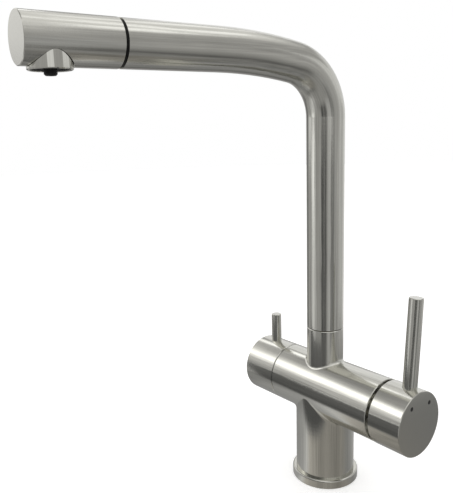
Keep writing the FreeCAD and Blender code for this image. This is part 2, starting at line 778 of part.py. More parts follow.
def make_rotor():
    flange = s.cartridge_diameter / 2 - s.cartridge_wall - s.seam_gap
    neck = s.rotor_neck_diameter / 2
    rotor = turned("cartridge_rotor", "handle", [
        (rotor_start, 0), (rotor_start, flange), (flange_end, flange), (flange_end, neck),
        (s.rotor_top_offset - s.edge_break, neck), (s.rotor_top_offset, neck - s.edge_break),
        (s.rotor_top_offset, 0),
    ])
    slot = new_sketch(rotor, "YZ_Plane", rotor_start)
    centred_rectangle(slot, s.spindle_width + s.seam_gap * 2, s.rotor_slot_length)
    extrude(rotor, slot, s.rotor_top_offset - rotor_start, "Pocket", True)
    grooves = new_sketch(rotor, "YZ_Plane", rotor_start)
    groove = s.carrier_rail_width / 2 + s.seam_gap
    for side in (rail_place, -rail_place):
        rectangle(grooves, side - groove, side + groove, -flange, flange)
    extrude(rotor, grooves, s.carrier_rail_height, "Pocket", True)
    pin_hole = [(s.tilt_axis_offset, 0, s.tilt_pin_diameter + s.running_fit * 2)]
    pocket_circles(rotor, "XZ_Plane", None, pin_hole, s.rotor_neck_diameter, True, True)

    pin = new_body("tilt_pin", "handle")
    section = new_sketch(pin, "XZ_Plane")
    circle(section, s.tilt_axis_offset, 0, s.tilt_pin_diameter)
    extrude(pin, section, s.rotor_neck_diameter - s.edge_break * 2, "Pad", True, True)


def make_moving_disc():
    disc_end = moving_disc_start + s.moving_disc_thickness
    radius = s.moving_disc_diameter / 2
    disc = turned("cartridge_moving_disc", "handle", [
        (moving_disc_start, 0), (disc_end, 0), (disc_end, radius), (moving_disc_start, radius),
    ])
    channel = new_sketch(disc, "YZ_Plane", moving_disc_start)
    half_width, top = s.disc_channel_width / 2, -s.disc_channel_drop
    rectangle(channel, -half_width, half_width, top - s.disc_channel_height, top)
    extrude(disc, channel, s.disc_channel_depth, "Pocket", True)

    carrier = turned("disc_carrier", "handle", [
        (carrier_start, 0), (carrier_end, 0), (carrier_end, radius), (carrier_start, radius),
    ])
    pocket_circles(carrier, "YZ_Plane", carrier_end, [(0, 0, s.ball_diameter + s.ball_room * 2)],
                   s.carrier_thickness - s.edge_break, False)
    rails = new_sketch(carrier, "YZ_Plane", carrier_end)
    rail, reach = s.carrier_rail_width / 2, s.carrier_rail_length / 2
    for side in (rail_place, -rail_place):
        rectangle(rails, side - rail, side + rail, -reach, reach)
    extrude(carrier, rails, s.carrier_rail_height - s.seam_gap, "Pad", True)


def make_mixer_handle():
    rim = barrel_right + s.mixer_gap
    face = rim + s.mixer_cap_length
    floor = rim + s.mixer_cap_cavity_depth
    boss_end = floor - s.mixer_boss_length
    radius = s.mixer_cap_diameter / 2
    bevel = s.edge_break
    cap = turned("mixer_cap", "handle", [
        (face, 0), (face, radius - bevel), (face - bevel, radius),
        (rim + bevel, radius), (rim, radius - bevel),
        (rim, s.mixer_cap_mouth / 2), (rim + s.mixer_cap_mouth_depth, s.mixer_cap_cavity / 2),
        (floor, s.mixer_cap_cavity / 2), (floor, s.mixer_boss_diameter / 2),
        (boss_end, s.mixer_boss_diameter / 2), (boss_end, 0),
    ])
    socket = new_sketch(cap, "YZ_Plane", boss_end)
    socket_width = s.spindle_width + s.running_fit * 2
    centred_rectangle(socket, socket_width, socket_width)
    extrude(cap, socket, s.spindle_seat_length + s.seam_gap, "Pocket", True)
    pin_place = face - s.mixer_pin_face_distance
    spindle_end = boss_end + s.spindle_seat_length
    grub_place = spindle_end - s.mixer_grub_setback
    pocket_circles(cap, "XY_Plane", s.mixer_pin_seat_height,
                   [(pin_place, 0, s.mixer_pin_diameter + s.running_fit * 2)], radius, True)
    pocket_circles(cap, "XY_Plane", None, [(grub_place, 0, s.mixer_grub_diameter + s.running_fit * 2)],
                   s.mixer_cap_diameter, False)
    mark_across = s.mark_circle / 2 * sine(s.mark_angle)
    mark_up = s.mark_circle / 2 * cosine(s.mark_angle)
    marks = {"hot_mark": -mark_across, "cold_mark": mark_across}
    holes = [(side, mark_up, s.mark_diameter + s.running_fit * 2) for side in marks.values()]
    pocket_circles(cap, "YZ_Plane", face, holes, s.mark_thickness, False)
    for name, side in marks.items():
        mark = new_body(name, "handle")
        section = new_sketch(mark, "YZ_Plane", face - s.mark_thickness)
        circle(section, side, mark_up, s.mark_diameter)
        extrude(mark, section, s.mark_thickness, "Pad", True)

    pin, tip = s.mixer_pin_diameter / 2, s.mixer_pin_height
    turned("mixer_lever_pin", "handle", [
        (0, s.mixer_pin_seat_height), (pin, s.mixer_pin_seat_height), (pin, tip - s.lever_tip_chamfer),
        (pin - s.lever_tip_chamfer, tip), (0, tip),
    ], "V_Axis", pin_place)
    grub_screw("mixer_grub_screw", "handle", s.mixer_grub_diameter, s.mixer_grub_length,
               -(s.spindle_width / 2) - s.running_fit, grub_place)

    spindle_start = ball_centre + s.ball_diameter / 2 - s.edge_break
    spindle = new_body("mixer_spindle", "handle")
    bar = new_sketch(spindle, "YZ_Plane", spindle_start)
    centred_rectangle(bar, s.spindle_width, s.spindle_width)
    extrude(spindle, bar, spindle_end - spindle_start, "Pad", True)
    neck = new_sketch(spindle, "YZ_Plane", ball_centre)
    circle(neck, 0, 0, s.ball_neck_diameter)
    extrude(spindle, neck, spindle_start + s.edge_break - ball_centre, "Pad", True)
    ball = spindle.newObject("PartDesign::AdditiveSphere", "spindle_ball")
    ball.setExpression("Radius", (s.ball_diameter / 2).formula)
    ball.setExpression("Placement.Base.x", ball_centre.formula)
    pin_hole = [(s.tilt_axis_offset, 0, s.tilt_pin_diameter + s.running_fit * 2)]
    pocket_circles(spindle, "XZ_Plane", None, pin_hole, s.rotor_neck_diameter, True, True)


def make_filter_valve():
    seat = -s.filter_seat_offset
    seal_end = seat - s.filter_seal_thickness
    fixed_end = seal_end - s.filter_disc_thickness
    moving_start = fixed_end - s.disc_film
    moving_end = moving_start - s.filter_disc_thickness
    collar_end = moving_end - s.filter_collar_thickness
    bore_end = collar_end - s.seam_gap
    valve_end = barrel_left - s.filter_valve_nose_length
    thread = s.filter_chamber_diameter / 2 - s.running_fit
    disc_bore = s.filter_disc_diameter / 2 + s.running_fit
    stem, nose = s.filter_stem_diameter / 2, s.filter_valve_nose_diameter / 2
    stem_bore = stem + s.running_fit
    ports = [
        (s.filter_port_offset, 0, s.filter_port_diameter),
        (-s.filter_port_offset, 0, s.filter_port_diameter),
    ]

    seal = turned("filter_valve_seal", "cross", [
        (seat, 0), (seal_end, 0), (seal_end, thread), (seat, thread),
    ])
    pocket_circles(seal, "YZ_Plane", seat, ports, s.filter_seal_thickness, False)

    turned("filter_valve_body", "cross", [
        (seal_end, disc_bore), (bore_end, disc_bore), (bore_end, stem_bore), (valve_end, stem_bore),
        (valve_end, nose - s.edge_break), (valve_end + s.edge_break, nose), (barrel_left, nose),
        (barrel_left, thread), (seal_end, thread),
    ])

    fixed = turned("filter_fixed_disc", "cross", [
        (seal_end, 0), (fixed_end, 0), (fixed_end, s.filter_disc_diameter / 2),
        (seal_end, s.filter_disc_diameter / 2),
    ])
    pocket_circles(fixed, "YZ_Plane", seal_end, ports, s.filter_disc_thickness, False)

    moving_radius = s.filter_disc_diameter / 2 - s.seam_gap
    moving = turned("filter_moving_disc", "cross", [
        (moving_start, 0), (moving_end, 0), (moving_end, moving_radius), (moving_start, moving_radius),
    ])
    channel = new_sketch(moving, "YZ_Plane", moving_start)
    centred_rectangle(channel, s.filter_disc_slot_width, s.filter_port_offset * 2 + s.filter_port_diameter)
    extrude(moving, channel, s.filter_disc_slot_depth, "Pocket", False)

    collar = s.filter_collar_diameter / 2
    spindle = turned("filter_spindle", "cross", [
        (moving_end, 0), (moving_end, collar), (collar_end, collar), (collar_end, stem),
        (filter_square_start, stem), (filter_square_start, 0),
    ])
    square = new_sketch(spindle, "YZ_Plane", filter_square_start)
    centred_rectangle(square, s.filter_square_width, s.filter_square_width)
    extrude(spindle, square, s.filter_square_length, "Pad", False)


def make_filter_handle():
    rim = barrel_left - s.filter_gap
    end = rim - s.filter_cap_length
    floor = rim - s.filter_cap_cavity_depth
    radius, cavity, bevel = s.barrel_diameter / 2, s.filter_cap_cavity / 2, s.edge_break
    cap = turned("filter_cap", "cross", [
        (end, 0), (end, radius - bevel), (end + bevel, radius),
        (rim - bevel, radius), (rim, radius - bevel),
        (rim, cavity), (floor, cavity), (floor, 0),
    ])
    socket = new_sketch(cap, "YZ_Plane", floor)
    width = s.filter_square_width + s.running_fit * 2
    centred_rectangle(socket, width, width)
    extrude(cap, socket, floor - filter_square_end + s.seam_gap, "Pocket", False)
    pin_place, grub_place = rim - s.filter_pin_rim_distance, filter_square_end + s.filter_grub_setback
    pocket_circles(cap, "XY_Plane", s.filter_pin_seat_height,
                   [(pin_place, 0, s.filter_pin_diameter + s.running_fit * 2)], radius, True)
    pocket_circles(cap, "XY_Plane", None, [(grub_place, 0, s.filter_grub_diameter + s.running_fit * 2)],
                   s.barrel_diameter, False)

    pin, tip = s.filter_pin_diameter / 2, s.filter_pin_height
    turned("filter_lever_pin", "cross", [
        (0, s.filter_pin_seat_height), (pin, s.filter_pin_seat_height), (pin, tip - s.lever_tip_chamfer),
        (pin - s.lever_tip_chamfer, tip), (0, tip),
    ], "V_Axis", pin_place)
    grub_screw("filter_grub_screw", "cross", s.filter_grub_diameter, s.filter_grub_length,
               -(s.filter_square_width / 2) - s.running_fit, grub_place)


def make_spout():
    tube_bottom = s.neck_height + s.spout_gap
    tube_bore = s.spout_diameter - s.spout_wall * 2
    bent_tube("spout_tube", tube_bottom, s.spout_reach, s.spout_diameter, tube_bore,
              s.bend_radius, s.shoulder_radius)

    # the ferrule's stem carries a slide ring and a seal at each end, with the stop groove between them
    low = socket_floor + s.seam_gap
    stem, plug = s.ferrule_stem_diameter / 2, tube_bore / 2 - s.running_fit
    bore = s.hose_diameter / 2 + s.hose_room
    ring_floor = stem - s.slide_ring_depth
    seal_outer = s.swivel_socket_diameter - s.running_fit * 2
    seal_floor = seal_outer / 2 - s.seal_cord - s.running_fit
    ring_low = low + s.slide_ring_inset
    seal_low = ring_low + s.slide_ring_width + s.seal_spacing
    ring_high = tube_bottom - s.slide_ring_inset
    seal_high = ring_high - s.slide_ring_width - s.seal_spacing
    half_cord = s.seal_cord / 2 + s.running_fit
    plug_end = tube_bottom + s.ferrule_plug_length
    ferrule = turned("spout_ferrule", "spout", [
        (bore, low), (bore, plug_end), (plug, plug_end), (plug, tube_bottom), (stem, tube_bottom),
        (stem, ring_high), (ring_floor, ring_high),
        (ring_floor, ring_high - s.slide_ring_width), (stem, ring_high - s.slide_ring_width),
        (stem, seal_high + half_cord), (seal_floor, seal_high + half_cord),
        (seal_floor, seal_high - half_cord), (stem, seal_high - half_cord),
        (stem, seal_low + half_cord), (seal_floor, seal_low + half_cord),
        (seal_floor, seal_low - half_cord), (stem, seal_low - half_cord),
        (stem, ring_low + s.slide_ring_width), (ring_floor, ring_low + s.slide_ring_width),
        (ring_floor, ring_low), (stem, ring_low), (stem, low),
    ], "V_Axis")
    groove_low = stop_screw_height - s.stop_groove_width / 2
    groove_high = stop_screw_height + s.stop_groove_width / 2
    groove_floor = -(s.stop_groove_diameter / 2)
    past_stem = -(stem + s.cut_overrun)
    revolve(ferrule, [
        (groove_floor, groove_low), (groove_floor, groove_high),
        (past_stem, groove_high), (past_stem, groove_low),
    ], "V_Axis", "Groove", s.stop_groove_angle, True)

    ring_outer = s.swivel_socket_diameter - s.running_fit * 2
    ring_inner = (ring_floor + s.running_fit) * 2
    slide_rings = {"slide_ring_lower": ring_low, "slide_ring_upper": ring_high - s.slide_ring_width}
    for name, start in slide_rings.items():
        sleeve(name, "spout", start, start + s.slide_ring_width, ring_outer, ring_inner, "V_Axis")
    seal_ring("swivel_seal_lower", "spout", seal_low, seal_outer, s.seal_cord)
    seal_ring("swivel_seal_upper", "spout", seal_high, seal_outer, s.seal_cord)

    collar_start = s.spout_reach - s.collar_length
    lip_end = s.spout_reach + s.collar_lip_width
    lip, mouth = s.collar_lip_diameter / 2, s.collar_bore / 2
    turned("docking_collar", "arm", [
        (collar_start, mouth), (lip_end - s.edge_break, mouth), (lip_end, mouth + s.edge_break),
        (lip_end, lip - s.edge_break), (lip_end - s.edge_break, lip),
        (s.spout_reach, lip), (s.spout_reach, plug), (collar_start, plug),
    ])

    hose_end = head_hose_start - s.seam_gap
    hose_bends = s.hose_bend_radius, s.hose_bend_radius
    bent_tube("riser_hose", low, hose_end, s.hose_diameter, s.hose_bore, *hose_bends)
    tube_inner = s.filter_tube_diameter - s.filter_tube_wall * 2
    bent_tube("riser_filter_tube", low, hose_end, s.filter_tube_diameter, tube_inner, *hose_bends)


# Stations along the spout's arm that the head's pieces share
head_start = s.spout_reach + s.collar_lip_width + s.seam_gap
head_end = head_start + s.head_length
outlet_place = head_end - s.outlet_setback
spigot_start = head_start - s.spigot_length
spigot_end = head_start + s.spigot_flange_length
coupling_face = head_start - s.coupling_flange_length
head_hose_end = coupling_face
head_hose_start = head_hose_end - s.head_hose_length
guide_floor = spigot_end + s.coupling_seat_length
flat = -(s.outlet_hole_ceiling_height + s.seam_gap)
head_bore = s.head_diameter - s.head_wall * 2


def make_head():
    radius, bore, bevel = s.head_diameter / 2, head_bore / 2, s.edge_break
    inner_end = head_end - s.head_end_wall
    shell = turned("head_shell", "arm", [
        (head_start, bore), (inner_end, bore), (inner_end, 0), (head_end, 0), (head_end, radius - bevel),
        (head_end - bevel, radius), (head_start + bevel, radius), (head_start, radius - bevel),
    ])
    hole = [(outlet_place, 0, s.outlet_sleeve_diameter + s.outlet_gap * 2)]
    pocket_circles(shell, "XY_Plane", -s.outlet_hole_ceiling_height, hole, s.head_diameter, False)

    plug = bore - s.running_fit
    stem = s.collar_bore / 2 - s.seam_gap
    turned("head_spigot", "arm", [
        (spigot_start, s.spigot_bore / 2), (spigot_end, s.spigot_bore / 2), (spigot_end, plug),
        (head_start, plug), (head_start, stem), (spigot_start + bevel, stem), (spigot_start, stem - bevel),
    ])

    coupling = s.spigot_bore / 2 - s.running_fit
    passage, barb = s.fitting_bore / 2, s.hose_bore / 2 - s.running_fit
    barb_start = coupling_face - s.barb_length
    turned("hose_coupling", "arm", [
        (barb_start, passage), (guide_floor, passage), (guide_floor, coupling), (coupling_face, coupling),
        (coupling_face, barb), (barb_start + bevel, barb), (barb_start, barb - bevel),
    ])
    crimp_inner = s.hose_diameter + s.running_fit * 2
    sleeve("hose_crimp", "arm", coupling_face - s.crimp_length, coupling_face,
           crimp_inner + s.crimp_wall * 2, crimp_inner)
    sleeve("head_hose", "arm", head_hose_start, head_hose_end, s.hose_diameter, s.hose_bore)
    tube_inner = s.filter_tube_diameter - s.filter_tube_wall * 2
    tube_end = guide_floor + s.guide_tube_seat_length
    sleeve("head_filter_tube", "arm", head_hose_start, tube_end, s.filter_tube_diameter, tube_inner)

    # the guide splits the two waters: the middle bore feeds the nozzle, the side channels feed the aerator
    tube_socket = s.filter_tube_diameter / 2 + s.running_fit
    filter_way = s.nozzle_bore / 2
    way_end = outlet_place + filter_way
    guide = turned("head_water_guide", "arm", [
        (spigot_end, coupling + s.running_fit), (guide_floor, coupling + s.running_fit),
        (guide_floor, tube_socket), (tube_end, tube_socket), (tube_end, filter_way),
        (way_end, filter_way), (way_end, 0),
        (inner_end, 0), (inner_end, plug), (spigot_end, plug),
    ])
    pocket_circles(guide, "XY_Plane", flat, hole, s.head_diameter, False)
    drop = s.guide_drop_diameter
    pocket_circles(guide, "XY_Plane", flat, [(outlet_place, 0, drop)], -flat, True)
    channel, offset = s.guide_channel_diameter, s.guide_channel_offset
    sides = (offset, -offset)
    pocket_circles(guide, "YZ_Plane", guide_floor, [(side, 0, channel) for side in sides],
                   outlet_place - offset - guide_floor, True)
    wells = [(outlet_place - offset - channel / 2, side, drop) for side in sides]
    pocket_circles(guide, "XY_Plane", flat, wells, -flat, True)


def make_outlet():
    rim, wall = s.outlet_sleeve_diameter / 2, s.outlet_sleeve_wall
    low, ease = -s.outlet_sleeve_drop_height, s.outlet_sleeve_round
    turned("outlet_sleeve", "arm", [
        (rim - wall, flat), (rim, flat), (rim, low + ease), (rim - ease, low), (rim - wall + ease, low),
        (rim - wall, low + ease),
    ], "V_Axis", outlet_place)

    face = low + s.aerator_recess
    back = face + s.aerator_thickness
    insert = rim - wall - s.running_fit
    nozzle = s.nozzle_diameter / 2
    aerator = turned("aerator_insert", "arm", [
        (nozzle + s.running_fit, face), (insert, face), (insert, back), (nozzle + s.running_fit, back),
    ], "V_Axis", outlet_place)
    for jet_circle, count in ((s.inner_jet_circle, inner_jets), (s.outer_jet_circle, outer_jets)):
        first_jet = [(jet_circle / 2, 0, s.jet_diameter)]
        jet = pocket_circles(aerator, "XY_Plane", face, first_jet, s.jet_depth, True)
        document.recompute()
        pattern_around(aerator, jet, count)
    sleeve("aerator_seal", "arm", back, back + s.aerator_seal_thickness, insert * 2,
           s.outer_jet_circle + s.jet_diameter, "V_Axis", outlet_place)

    tip, chamfer, way = -s.nozzle_tip_offset, s.nozzle_chamfer, s.nozzle_bore / 2
    turned("filter_nozzle", "arm", [
        (way, tip), (nozzle - chamfer, tip), (nozzle, tip + chamfer), (nozzle, flat), (way, flat),
    ], "V_Axis", outlet_place)


make_mixer_body()
make_base()
make_inlet_block()
make_column_hose()
make_stop_screw()
make_cartridge()
make_rotor()
make_moving_disc()
make_mixer_handle()
make_filter_valve()
make_filter_handle()
make_spout()
make_head()
make_outlet()
document.recompute()

for item in document.Objects:
    if "Invalid" in item.State or "Error" in item.State:
        raise RuntimeError(f"{item.Label} failed: {item.State}")
for piece in pieces:
    if piece.Shape.isNull() or not piece.Shape.isValid() or len(piece.Shape.Solids) != 1:
        raise RuntimeError(f"{piece.Label} is not one valid solid")

os.makedirs("parts", exist_ok=True)
for piece in pieces:
    piece.Shape.exportStep(os.path.join("parts", f"{piece.Label}.step"))
print(f"{len(pieces)} pieces written")
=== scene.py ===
import math
import bmesh
import bpy
from mathutils import Matrix, Vector


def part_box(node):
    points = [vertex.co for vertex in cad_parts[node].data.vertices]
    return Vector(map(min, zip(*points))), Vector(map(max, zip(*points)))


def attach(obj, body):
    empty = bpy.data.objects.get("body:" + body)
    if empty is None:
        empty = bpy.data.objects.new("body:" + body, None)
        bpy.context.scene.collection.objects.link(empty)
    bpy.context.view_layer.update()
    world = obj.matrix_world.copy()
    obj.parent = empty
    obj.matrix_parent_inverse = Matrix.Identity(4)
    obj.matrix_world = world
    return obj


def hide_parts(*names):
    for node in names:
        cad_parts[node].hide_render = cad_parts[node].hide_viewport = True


# Kitchen mixer tap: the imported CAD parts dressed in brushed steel, plastics, brass and braid.

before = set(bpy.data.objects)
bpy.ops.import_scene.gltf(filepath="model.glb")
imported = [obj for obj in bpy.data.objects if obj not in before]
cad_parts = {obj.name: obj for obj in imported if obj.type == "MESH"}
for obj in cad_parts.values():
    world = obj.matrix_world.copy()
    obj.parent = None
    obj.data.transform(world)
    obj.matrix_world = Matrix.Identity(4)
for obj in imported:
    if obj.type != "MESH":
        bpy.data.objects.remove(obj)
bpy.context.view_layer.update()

# places taken from the CAD, in metres
tap = {
    "crossHeight": 0.0749,       # the barrel's axis above the worktop
    "barrelFrom": 0.0233,        # this far from its axis the barrel's lines begin to give way
    "barrelTo": 0.0244,          # to the column's and the neck's
    "spoutTurn": -3.55,          # where the spout stands at rest, in degrees
    "bendStart": 0.2831,         # height of the bend's centre
    "bendRadius": 0.0380,        # the bend's radius, and how far out its centre lies
}
swing = math.radians(tap["spoutTurn"])
spoutWay = Vector((math.sin(swing), -math.cos(swing), 0))
spoutSide = Vector((math.cos(swing), math.sin(swing), 0))


class Wire:
    # a socket that can be used in sums, and the one place where nodes are made

    def __init__(self, tree, socket=None):
        self.tree = tree
        self.socket = socket

    def node(self, kind, settings=None, inputs=None, output=0):
        made = self.tree.nodes.new(kind)
        for key, value in (settings or {}).items():
            if key == "stops":
                stops = made.color_ramp.elements
                while len(stops) < len(value):
                    stops.new(1.0)
                for stop, (place, colour) in zip(stops, value):
                    stop.position = place
                    stop.color = colour
            else:
                setattr(made, key, value)
        for key, value in (inputs or {}).items():
            if isinstance(value, Wire):
                self.tree.links.new(value.socket, made.inputs[key])
            else:
                made.inputs[key].default_value = value
        return Wire(self.tree, made.outputs[output]) if made.outputs else Wire(self.tree)

    def out(self, name):
        return Wire(self.tree, self.socket.node.outputs[name])

    def maths(self, operation, left, right=None):
        inputs = {0: left}
        if right is not None:
            inputs[1] = right
        return self.node("ShaderNodeMath", {"operation": operation}, inputs)

    def __add__(self, other):
        return self.maths("ADD", self, other)

    def __radd__(self, other):
        return self.maths("ADD", other, self)

    def __sub__(self, other):
        return self.maths("SUBTRACT", self, other)

    def __rsub__(self, other):
        return self.maths("SUBTRACT", other, self)

    def __mul__(self, other):
        return self.maths("MULTIPLY", self, other)

    def __rmul__(self, other):
        return self.maths("MULTIPLY", other, self)

    def __truediv__(self, other):
        return self.maths("DIVIDE", self, other)

    def __rtruediv__(self, other):
        return self.maths("DIVIDE", other, self)

    def atLeast(self, low):
        return self.maths("MAXIMUM", self, low)

    def atMost(self, high):
        return self.maths("MINIMUM", self, high)

    def root(self):
        return self.maths("SQRT", self)

    def step(self, low, high):
        # 0 below low, 1 above high, eased between them
        return self.node("ShaderNodeMapRange", {"interpolation_type": "SMOOTHSTEP"},
                         {"Value": self, "From Min": low, "From Max": high})

    def between(self, low, high, soft):
        return self.step(low - soft / 2, low + soft / 2) * (1 - self.step(high - soft / 2, high + soft / 2))

    def blend(self, first, second):
        # this wire is the mask between two colours
        return self.node("ShaderNodeMix", {"data_type": "RGBA"}, {"Factor": self, 6: first, 7: second}, 2)

    def vector(self, x, y, z):
        return self.node("ShaderNodeCombineXYZ", {}, {0: x, 1: y, 2: z})

    def vectorMaths(self, operation, left, right=None):
        inputs = {0: left}
        if right is not None:
            inputs["Scale" if operation == "SCALE" else 1] = right
        return self.node("ShaderNodeVectorMath", {"operation": operation}, inputs)

    def noise(self, place, scale, detail=2.0, rough=0.5):
        return self.node("ShaderNodeTexNoise", {"noise_dimensions": "3D"},
                         {"Vector": place, "Scale": scale, "Detail": detail, "Roughness": rough})


blueLoss = 1.6                   # a warm grey loses this much more blue than it gains red


def grey(value, warm=0.0):
    return (value * (1 + warm), value, value * (1 - blueLoss * warm), 1.0)


def newMaterial(name):
    material = bpy.data.materials.new(name)
    material.use_nodes = True
    material.node_tree.nodes.clear()
    return material, Wire(material.node_tree)


def surface(wire, sockets, bump=None, bumpStrength=0.1, bumpDepth=0.0001):
    # closes a material: one principled shader, with a bump where one is given
    sockets = dict(sockets)
    if bump is not None:
        sockets["Normal"] = wire.node("ShaderNodeBump", {},
                                      {"Strength": bumpStrength, "Distance": bumpDepth, "Height": bump})
    shader = wire.node("ShaderNodeBsdfPrincipled", {}, sockets)
    wire.node("ShaderNodeOutputMaterial", {}, {"Surface": shader})


def places(wire):
    # a point's place in the CAD frame, in metres, and its x, y and z
    spot = wire.node("ShaderNodeTexCoord", {}, {}, 3)
    x = wire.node("ShaderNodeSeparateXYZ", {}, {0: spot})
    return spot, x, x.out("Y"), x.out("Z")


# Which way the lines of a piece run: the place along its axis, the axis, the two places across it
# and, for the spout, how much it is bent there

def aboutX(wire, x, y, z):
    return x, (1.0, 0.0, 0.0), y, z - tap["crossHeight"], None


def aboutZ(wire, x, y, z):
    return z, (0.0, 0.0, 1.0), x, y, None


def aboutBody(wire, x, y, z):
    # the barrel is turned about X, the column and the neck about Z
    rise = z - tap["crossHeight"]
    onBarrel = 1 - (y * y + rise * rise).root().step(tap["barrelFrom"], tap["barrelTo"])
    along = onBarrel * x + (1 - onBarrel) * z
    axis = wire.vector(onBarrel, 0.0, 1 - onBarrel)
    return along, axis, y, onBarrel * rise + (1 - onBarrel) * x, None


def aboutSpout(wire, x, y, z):
    # up the riser, round the bend and out along the arm
    out = x * spoutWay.x + y * spoutWay.y
    side = x * spoutSide.x + y * spoutSide.y
    inward = (tap["bendRadius"] - out).atLeast(0.0)
    above = (z - tap["bendStart"]).atLeast(0.0)
    turn = wire.maths("ARCTAN2", above, inward)
    along = z.atMost(tap["bendStart"]) + turn * tap["bendRadius"] + (out - tap["bendRadius"]).atLeast(0.0)
    level = wire.maths("SINE", turn)
    upright = wire.maths("COSINE", turn)
    axis = wire.vector(level * spoutWay.x, level * spoutWay.y, upright)
    fromAxis = (inward * inward + above * above).root() - tap["bendRadius"]
    return along, axis, side, fromAxis, level * upright * 2.0


# Brushed steel: sizes in metres, tones and tilts as shares

steel = {
    "dark": (0.490, 0.486, 0.450, 1.0),
    "light": (0.760, 0.754, 0.700, 1.0),
    "roughness": 0.15,
    "bendRoughness": 0.09,       # added where the spout is bent
    "lineSize": 0.000018,        # one turned line
    "lineChange": 20.0,          # how soon a line changes on its way round the piece
    "lineTilt": 0.16,            # how far the lines lean the surface along the axis
    "lineTone": 0.2,
    "streakAcross": 0.0009,      # lengthwise streaks left by polishing
    "streakAlong": 0.05,
    "streakTilt": 0.10,
    "streakTone": 0.95,
    "streakRoughness": 0.05,
    "smudgeSize": 0.03,
    "smudgeTone": 0.3,
    "smudgeRoughness": 0.05,
    "faceRing": 0.0007,          # turned rings on an end face
    "faceTone": 0.35,
    "faceFrom": 0.90,            # cosine between a face and the axis, where the rings begin and are full
    "faceTo": 0.97,
}


def turnedSteel(name, about, **changes):
    # fine lines run round the piece and smear what it mirrors along its axis
    look = dict(steel, **changes)
    material, wire = newMaterial(name)
    spot, x, y, z = places(wire)
    along, axis, left, right, bent = about(wire, x, y, z)
    lineSpot = wire.vector(along / look["lineSize"], left * look["lineChange"], right * look["lineChange"])
    line = wire.noise(lineSpot, 1.0, 1.0)
    across = look["streakAcross"]
    streakSpot = wire.vector(along / look["streakAlong"], left / across, right / across)
    streak = wire.noise(streakSpot, 1.0, 3.0, 0.6)
    smudge = wire.noise(spot, 1 / look["smudgeSize"], 3.0)
    tone = 0.5 + (streak - 0.5) * look["streakTone"] + (smudge - 0.5) * look["smudgeTone"]
    tone = tone + (line - 0.5) * look["lineTone"]
    ringSpot = wire.vector((left * left + right * right).root() / look["faceRing"], 0.0, 0.0)
    ring = wire.noise(ringSpot, 1.0)
    rough = look["roughness"] + (streak - 0.5) * look["streakRoughness"]
    rough = rough + (smudge - 0.5) * look["smudgeRoughness"]
    if bent is not None:
        rough = rough + bent * look["bendRoughness"]
    axis = wire.node("ShaderNodeVectorTransform",
                     {"vector_type": "VECTOR", "convert_from": "OBJECT", "convert_to": "WORLD"}, {0: axis})
    normal = wire.node("ShaderNodeNewGeometry", {}, {}, 1)
    alongAxis = wire.vectorMaths("DOT_PRODUCT", normal, axis).out("Value")
    endFace = wire.maths("ABSOLUTE", alongAxis).step(look["faceFrom"], look["faceTo"])
    tone = tone + endFace * (0.5 + (ring - 0.5) * look["faceTone"] - tone)
    lean = wire.vectorMaths("SCALE", axis, (line - 0.5) * look["lineTilt"])
    crosswise = wire.vectorMaths("CROSS_PRODUCT", normal, axis)
    wave = wire.vectorMaths("SCALE", crosswise, (streak - 0.5) * look["streakTilt"])
    facing = wire.vectorMaths("ADD", wire.vectorMaths("ADD", normal, lean), wave)
    surface(wire, {"Base Color": tone.blend(look["dark"], look["light"]), "Metallic": 1.0, "Roughness": rough,
                   "Normal": wire.vectorMaths("NORMALIZE", facing)})
    return material


# Plastics, rubber, brass, copper, ceramic, hose and screws

moulding = {
    "slow": 90.0,                # slow patches in a metre
    "slowTone": 0.9,
    "fineTone": 0.6,
    "fineRoughness": 0.12,
}


def moulded(name, dark, light, roughness, grain=0.0004, bump=0.12, shine=0.5):
    # a moulded or pressed surface: fine grain, and a slow change of tone
    material, wire = newMaterial(name)
    spot, x, y, z = places(wire)
    fine = wire.noise(spot, 1 / grain, 3.0, 0.6)
    slow = wire.noise(spot, moulding["slow"], 3.0)
    tone = 0.5 + (fine - 0.5) * moulding["fineTone"] + (slow - 0.5) * moulding["slowTone"]
    surface(wire, {"Base Color": tone.blend(dark, light), "Specular IOR Level": shine,
                   "Roughness": roughness + (fine - 0.5) * moulding["fineRoughness"]}, fine, bump)
    return material


drawing = {
    "lineSize": 0.0002,
    "lineChange": 40.0,
    "lineTone": 0.8,
    "lineRoughness": 0.1,
    "lineBump": 0.1,
    "lineDepth": 0.00003,
    "patches": 140.0,            # dull patches in a metre
    "patchFrom": 0.48,           # the noise's height where a patch begins and is full
    "patchTo": 0.68,
    "patchRoughness": 0.3,
}


def drawnMetal(name, about, dark, light, roughness, tarnish):
    # brass, copper and screw steel: turned lines, with dull patches
    material, wire = newMaterial(name)
    spot, x, y, z = places(wire)
    along, axis, left, right, bent = about(wire, x, y, z)
    change = drawing["lineChange"]
    line = wire.noise(wire.vector(along / drawing["lineSize"], left * change, right * change), 1.0, 2.0)
    patch = wire.noise(spot, drawing["patches"], 4.0, 0.6).step(drawing["patchFrom"], drawing["patchTo"])
    tone = (0.5 + (line - 0.5) * drawing["lineTone"] - patch * tarnish).atLeast(0.0)
    rough = roughness + (line - 0.5) * drawing["lineRoughness"] + patch * tarnish * drawing["patchRoughness"]
    surface(wire, {"Base Color": tone.blend(dark, light), "Metallic": 1.0, "Roughness": rough},
            line, drawing["lineBump"], drawing["lineDepth"])
    return material


yarn = {
    "dark": grey(0.20),
    "light": grey(0.46),
    "roughness": 0.46,
    "sheen": 0.15,
    "fibreLength": 0.0012,
    "fibreWidth": 0.0002,
    "fibreTone": 1.1,
    "fibreRoughness": 0.2,
    "fibreBump": 0.35,
    "fibreDepth": 0.00006,
    "worn": 120.0,               # worn patches in a metre
    "wornTone": 0.8,
}


